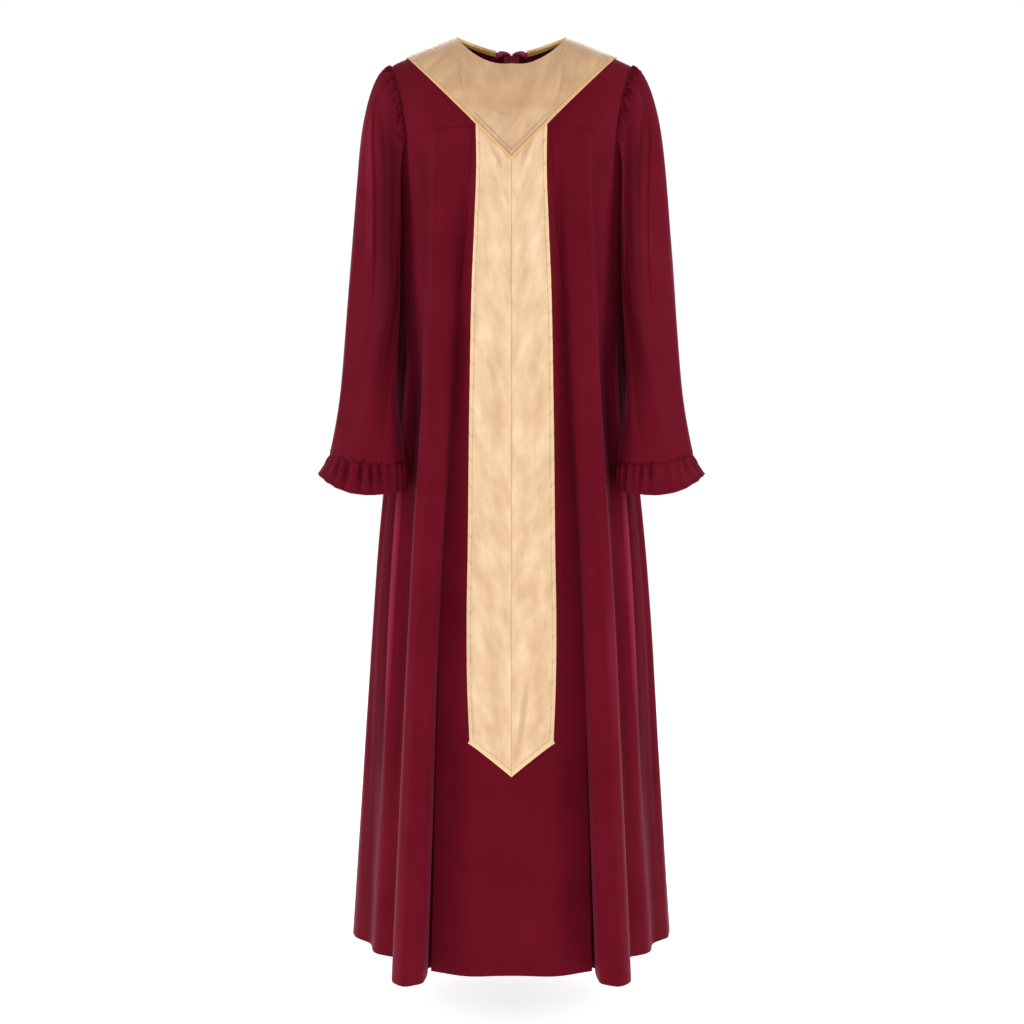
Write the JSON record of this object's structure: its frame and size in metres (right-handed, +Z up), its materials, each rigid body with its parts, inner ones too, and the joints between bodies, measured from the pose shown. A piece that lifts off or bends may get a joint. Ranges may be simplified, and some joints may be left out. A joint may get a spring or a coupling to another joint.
{
  "type": "choir robe",
  "caption": "Full-length choir robe with a deep satin V collar, a satin stole panel down the front, gathered sleeves with ruffled cuffs, a pleated skirt and a back zip.",
  "frame": {"origin": "middle of the shoulder line, 25 mm below the points where the shoulder seams meet the neck, at the height where the wearer's shoulders carry the robe", "axes": "+Z up, -Y towards the robe's front, +X towards the right of the picture when the front is seen; the skirt hangs down along -Z"},
  "size_m": [0.583, 0.4925, 1.3793],
  "materials": {
    "maroon_cloth": "soft satin-backed crepe, dark maroon",
    "collar_satin": "satin, old gold",
    "stole_satin": "satin, light gold",
    "band_satin": "satin binding, gold",
    "zip_tape": "woven zip tape, maroon",
    "zip_metal": "lacquered metal, dark red"
  },
  "bodies": {
    "robe": {"front_yoke": "maroon_cloth", "back_yoke_left": "maroon_cloth", "back_yoke_right": "maroon_cloth", "front_panel": "maroon_cloth", "back_panel_left": "maroon_cloth", "back_panel_right": "maroon_cloth", "sleeve_left": "maroon_cloth", "sleeve_right": "maroon_cloth", "cuff_ruffle_left": "maroon_cloth", "cuff_ruffle_right": "maroon_cloth", "collar_front": "collar_satin", "collar_back_left": "collar_satin", "collar_back_right": "collar_satin", "stole_left": "stole_satin", "stole_right": "stole_satin", "neck_band_left": "band_satin", "neck_band_right": "band_satin", "zip_tape_left": "zip_tape", "zip_tape_right": "zip_tape", "zip_slider": "zip_metal"},
    "pull": {"zip_pull": "zip_metal"}
  },
  "joints": [
    {"name": "pull_hinge", "type": "hinge", "parent": "robe", "child": "pull", "pos_m": [0, 0.05677, 0.00211], "axis": [1, 0, 0], "range_deg": [0, 135]}
  ]
}
